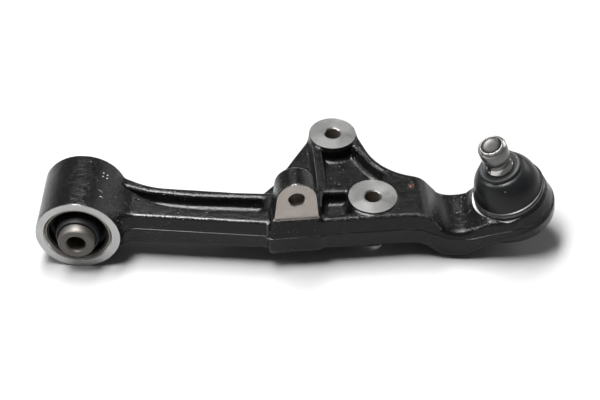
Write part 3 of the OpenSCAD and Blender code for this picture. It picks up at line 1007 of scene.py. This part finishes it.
def boot_outside():
    """Outer line of the boot from its bead to its top, (radius, height) along the stud."""
    bead = [(BOOT_SEAT_R + 0.05, RIM_W + 0.05)] + arc((BEAD_R - 0.7, RIM_W + 0.75), 0.7, 270, 420)
    bead += [(WAIST_R, RIM_W + 1.9), (WAIST_R, RIM_W + 4.8)]
    bead += arc((BEAD_R - 0.9, RIM_W + 5.6), 0.6, 290, 450, 7)
    bell = [(26.5, 16.5), (26.2, 17.6), (25.8, 20.0), (25.1, 24.0), (24.0, 28.0)]
    crown = [(22.3, 32.0), (20.1, 35.5), (17.9, 38.0), (RING_R - 0.9, 39.4)]
    return bead, bell, crown


def boot_line_radius(points, w):
    heights = [p[1] for p in points]
    return float(np.interp(w, heights, [p[0] for p in points]))


def smooth_line(points, steps):
    """Curve through the points (Catmull-Rom)."""
    p = [points[0]] + list(points) + [points[-1]]
    out = [points[0]]
    for i in range(1, len(p) - 2):
        a, b, c, d = (np.array(q, float) for q in p[i - 1:i + 3])
        for k in range(1, steps + 1):
            t = k / steps
            q = 0.5 * (2 * b + (c - a) * t + (2 * a - 5 * b + 4 * c - d) * t * t
                       + (3 * b - a - 3 * c + d) * t ** 3)
            out.append((float(q[0]), float(q[1])))
    return out


def make_boot():
    wall = 2.0
    bead, bell, crown = boot_outside()
    outer = smooth_line(bell + crown, 6)
    seam = boot_line_radius(outer, BOOT_SPLIT)
    skirt_out = bead + [p for p in outer if p[1] < BOOT_SPLIT] + [(seam, BOOT_SPLIT)]
    skirt_in = [(seam - wall, BOOT_SPLIT)] + [(r - wall, w) for r, w in reversed(outer)
                                              if BOOT_SEAT_W + 2.2 < w < BOOT_SPLIT]
    skirt_in += [(24.0, BOOT_SEAT_W + 0.1), (BOOT_SEAT_R + 0.05, BOOT_SEAT_W + 0.1)]
    top_out = [(seam, BOOT_SPLIT)] + [p for p in outer if p[1] > BOOT_SPLIT]
    top_in = [(r - wall, w) for r, w in reversed(top_out)]
    bottom = BALL + STUD_AXIS * (BOOT_SEAT_W + 0.3)
    middle = BALL + STUD_AXIS * (BOOT_SPLIT - 0.3)
    top = BALL + STUD_AXIS * 38.4
    skirt = lathe("boot_skirt", skirt_out + skirt_in, joint_point, FINE_TURNS, True, [BOOT_RUBBER])
    crown_piece = lathe("boot_crown", top_out + top_in, joint_point, FINE_TURNS, True, [BOOT_RUBBER])
    for piece, a, b, start, end in ((skirt, "arm", "boot", bottom, middle),
                                    (crown_piece, "boot", "boot_top", middle + STUD_AXIS * 0.6, top)):
        sharpen(piece, 40)
        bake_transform(piece)
        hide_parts("dust_boot")


def wire_tree():
    """Geometry Nodes: a round wire wound as a helix, turned onto the stud's axis."""
    tree = bpy.data.node_groups.new("wound_wire", "GeometryNodeTree")
    sizes = {}
    for name, kind in (("Turns", "NodeSocketFloat"), ("Coil Radius", "NodeSocketFloat"),
                       ("Pitch", "NodeSocketFloat"), ("Wire Radius", "NodeSocketFloat"),
                       ("Foot", "NodeSocketVector"), ("Tilt", "NodeSocketRotation"),
                       ("Finish", "NodeSocketMaterial")):
        sizes[name] = tree.interface.new_socket(name, in_out="INPUT", socket_type=kind).identifier
    tree.interface.new_socket("Geometry", in_out="OUTPUT", socket_type="NodeSocketGeometry")
    given = tree.nodes.new("NodeGroupInput").outputs
    helix = node(tree, "GeometryNodeCurveSpiral", Resolution=96, Rotations=given["Turns"],
                 Height=maths(tree, "MULTIPLY", given["Turns"], given["Pitch"]))
    fill(tree, helix, "Start Radius", given["Coil Radius"])
    fill(tree, helix, "End Radius", given["Coil Radius"])
    section = node(tree, "GeometryNodeCurvePrimitiveCircle", Resolution=10, Radius=given["Wire Radius"])
    sweep = tree.nodes.new("GeometryNodeCurveToMesh")
    fill(tree, sweep, "Curve", helix.outputs[0])
    fill(tree, sweep, "Profile Curve", section.outputs["Curve"])
    fill(tree, sweep, "Fill Caps", True)
    move = node(tree, "GeometryNodeTransform", Geometry=sweep.outputs[0],
                Translation=given["Foot"], Rotation=given["Tilt"])
    real = node(tree, "GeometryNodeRealizeInstances", Geometry=move.outputs[0])
    done = node(tree, "GeometryNodeSetMaterial", Geometry=real.outputs[0], Material=given["Finish"])
    result = tree.nodes.new("NodeGroupOutput")
    tree.links.new(done.outputs[0], result.inputs[0])
    return tree, sizes


def make_wire_ring():
    wire_r, turns = 0.45, 3.0
    tree, sizes = wire_tree()
    obj = new_object("boot_base_wire", [], [])
    modifier = obj.modifiers.new("wound_wire", "NODES")
    modifier.node_group = tree
    axes = Matrix([(ALONG_AXIS[i], ACROSS_AXIS[i], STUD_AXIS[i]) for i in range(3)])
    foot = (BALL + STUD_AXIS * (RIM_W + 1.95 + wire_r)) * MM
    for name, value in (("Turns", turns), ("Coil Radius", (WAIST_R + wire_r) * MM),
                        ("Pitch", 0.88 * MM), ("Wire Radius", wire_r * MM), ("Foot", tuple(foot)),
                        ("Tilt", tuple(axes.to_euler())), ("Finish", WIRE)):
        modifier[sizes[name]] = value
    bpy.context.view_layer.update()
    done = obj.evaluated_get(bpy.context.evaluated_depsgraph_get())
    mesh = bpy.data.meshes.new_from_object(done)
    obj.modifiers.clear()
    obj.data = mesh
    face_outwards(obj)
    mesh.polygons.foreach_set("use_smooth", [True] * len(mesh.polygons))
    on_arm(obj, "wire_steel", "boot_base_ring")


def make_collar_ring():
    profile = [(SHOULDER_R + 0.05, RING_LOW - 0.9), (RING_R - 2.1, RING_LOW - 0.9),
               (RING_R - 2.1, RING_LOW)]
    profile += arc((RING_R - 0.5, RING_LOW + 0.5), 0.5, 270, 360, 4)
    profile += arc((RING_R - 0.9, RING_HIGH - 0.9), 0.9, 0, 80, 5)
    profile += [(13.6, RING_HIGH - 0.1), (13.2, RING_HIGH - 0.5), (12.2, RING_HIGH - 0.6)]
    profile += [(SHOULDER_R + 0.4, RING_HIGH - 0.9), (SHOULDER_R + 0.05, RING_HIGH - 1.3)]
    ring = lathe("boot_collar_finished", profile, joint_point, FINE_TURNS, True, [RING_RUBBER])
    sharpen(ring, 40)
    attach(ring, "boot_top")
    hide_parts("boot_collar")


def make_stud():
    """Ball, neck, polished shoulder, pinch-bolt waist and clamped end in one piece."""
    ball_r, neck_r, waist_r = 14.5, 8.5, 8.7
    end = STUD_END
    profile = [(0, -12.5), (7.2, -12.5)]
    profile += arc((0, 0), ball_r, -59, 52, 28)
    profile += [(neck_r, 13.2), (neck_r, 20), (9.2, 27), (10.2, 33), (SHOULDER_R, 35.4), (SHOULDER_R, 42.4)]
    profile += arc((SHOULDER_R - 1.2, 43.4), 1.2, 0, 45, 4)
    profile += [(9.4, 47.4), (9.0, 48.4), (waist_r, 49.2), (waist_r, 51.4)]
    profile += [(9.1, 52.4), (10.2, 53.2), (STUD_R - 0.2, 53.7), (STUD_R, 54.1), (STUD_R, end - 2.4)]
    profile += [(STUD_R - 0.25, end - 1.9), (STUD_R - 1.7, end - 0.3), (STUD_R - 2.2, end),
                (STUD_R - 3.0, end), (STUD_R - 3.6, end - 0.4), (STUD_R - 4.4, end - 1.0),
                (STUD_R - 6.0, end - 1.3), (2.5, end - 1.4), (0, end - 1.4)]

    steel, polished, shaded_dish, rim = range(4)

    # The end's chamfered rim takes the painted highlight, and the dish inside it takes the painted shade.
    def finish(r, w):
        if w > end - 2.2 and r < STUD_R - 3.2:
            return shaded_dish
        if w > end - 2.2:
            return rim
        return polished if (34 < w < 47.6 or w < 13) else steel

    stud = lathe("ball_stud_finished", profile, joint_point, FINE_TURNS,
                 materials=[STUD_STEEL, POLISHED, STUD_END_PAINTED_SHADE, STUD_RIM_PAINTED_HIGHLIGHT], finish=finish)
    sharpen(stud, 28)
    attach(stud, "stud")
    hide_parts("ball_stud")


def make_cover():
    """Pressed cover with a shallow dimple and a rounded rim."""
    profile = [(0, COVER_TOP), (COVER_R - 0.4, COVER_TOP), (COVER_R, COVER_TOP - 0.4)]
    profile += arc((COVER_R - 0.7, COVER_BOTTOM + 0.7), 0.7, 0, -90)
    profile += [(15.0, COVER_BOTTOM), (12.6, COVER_BOTTOM + 0.2), (11.0, COVER_BOTTOM + 0.8)]
    profile += [(5.5, COVER_BOTTOM + 0.9), (2.0, COVER_BOTTOM + 1.0), (0, COVER_BOTTOM + 1.0)]
    cover = lathe("cover_plate_finished", profile, joint_point, FINE_TURNS, materials=[SLEEVE_STEEL])
    sharpen(cover, 40)
    on_arm(cover, "sleeve_steel", "cover_plate")


def finish_inner_nodes():
    """The bearing cup and its spring keep their CAD shape and get a material."""
    for name, material in (("ball_seat", PLASTIC), ("preload_ring", SLEEVE_STEEL)):
        obj = NODES[name]
        obj.data.materials.clear()
        obj.data.materials.append(material)


make_casting()
make_mould_marks()
make_bushing()
make_boot()
make_wire_ring()
make_collar_ring()
make_stud()
make_cover()
finish_inner_nodes()


# ---------------------------------------------------------------- studio

# Camera: degrees round, up and rolled, then metres behind, right of and above the pivot's centre
CAMERA_TURN, CAMERA_LIFT, CAMERA_ROLL = 1.103, 42.607, 1.02
CAMERA_BACK, CAMERA_RIGHT, CAMERA_UP = 1.28635, 0.16812, 0.008234
CAMERA_LENS = 99.97


def look_along(azimuth, elevation, roll):
    """Right, up and back directions of a camera that looks from azimuth and elevation."""
    a, e = math.radians(azimuth), math.radians(elevation)
    back = Vector((math.sin(a) * math.cos(e), -math.cos(a) * math.cos(e), math.sin(e)))
    right = (-back).cross(Vector((0, 0, 1))).normalized()
    up = right.cross(-back)
    r = math.radians(roll)
    return right * math.cos(r) + up * math.sin(r), up * math.cos(r) - right * math.sin(r), back


def make_camera():
    right, up, back = look_along(CAMERA_TURN, CAMERA_LIFT, CAMERA_ROLL)
    data = bpy.data.cameras.new("camera")
    data.sensor_width = 36
    data.lens = CAMERA_LENS
    data.clip_end = 20
    camera = bpy.data.objects.new("camera", data)
    position = back * CAMERA_BACK + right * CAMERA_RIGHT + up * CAMERA_UP
    camera.matrix_world = Matrix([
        (right[i], up[i], back[i], position[i]) for i in range(3)] + [(0, 0, 0, 1)])
    bpy.context.scene.collection.objects.link(camera)
    bpy.context.scene.camera = camera


def floor_paper():
    material, tree, shader, place = principled("floor_paper", Roughness=0.9)
    cloud = noise(tree, place, 3.0, 2.0)
    fill(tree, shader, "Base Color", blend_colour(
        tree, cloud, (0.25, 0.25, 0.25, 1), (0.24, 0.24, 0.24, 1)))
    return material


def make_floor():
    size = 12
    z = cad_box[0].z
    floor = new_object(
        "floor", [(-size, -size, z), (size, -size, z), (size, size, z), (-size, size, z)],
        [(0, 1, 2, 3)], [floor_paper()])


def area_light(name, position, target, size, power):
    data = bpy.data.lights.new(name, "AREA")
    data.shape = "RECTANGLE"
    data.size, data.size_y = size
    data.energy = power
    light = bpy.data.objects.new(name, data)
    light.location = position
    direction = Vector(target) - Vector(position)
    light.rotation_euler = direction.to_track_quat("-Z", "Y").to_euler()
    bpy.context.scene.collection.objects.link(light)


def make_lights():
    world = bpy.data.worlds.new("studio")
    world.use_nodes = True
    world.node_tree.nodes["Background"].inputs["Color"].default_value = (1, 1, 1, 1)
    world.node_tree.nodes["Background"].inputs["Strength"].default_value = 0.2
    bpy.context.scene.world = world
    middle = (0.17, 0.02, 0.0)
    area_light("overhead", (-0.15, 0.1, 1.5), middle, (1.25, 0.42), 112)
    area_light("right_back", (1.3, 0.9, 0.75), middle, (1.0, 0.8), 8)
    area_light("left", (-1.0, -0.12, 0.85), middle, (0.35, 0.3), 10)
    bpy.context.scene.view_settings.view_transform = "Standard"


make_camera()
make_floor()
make_lights()
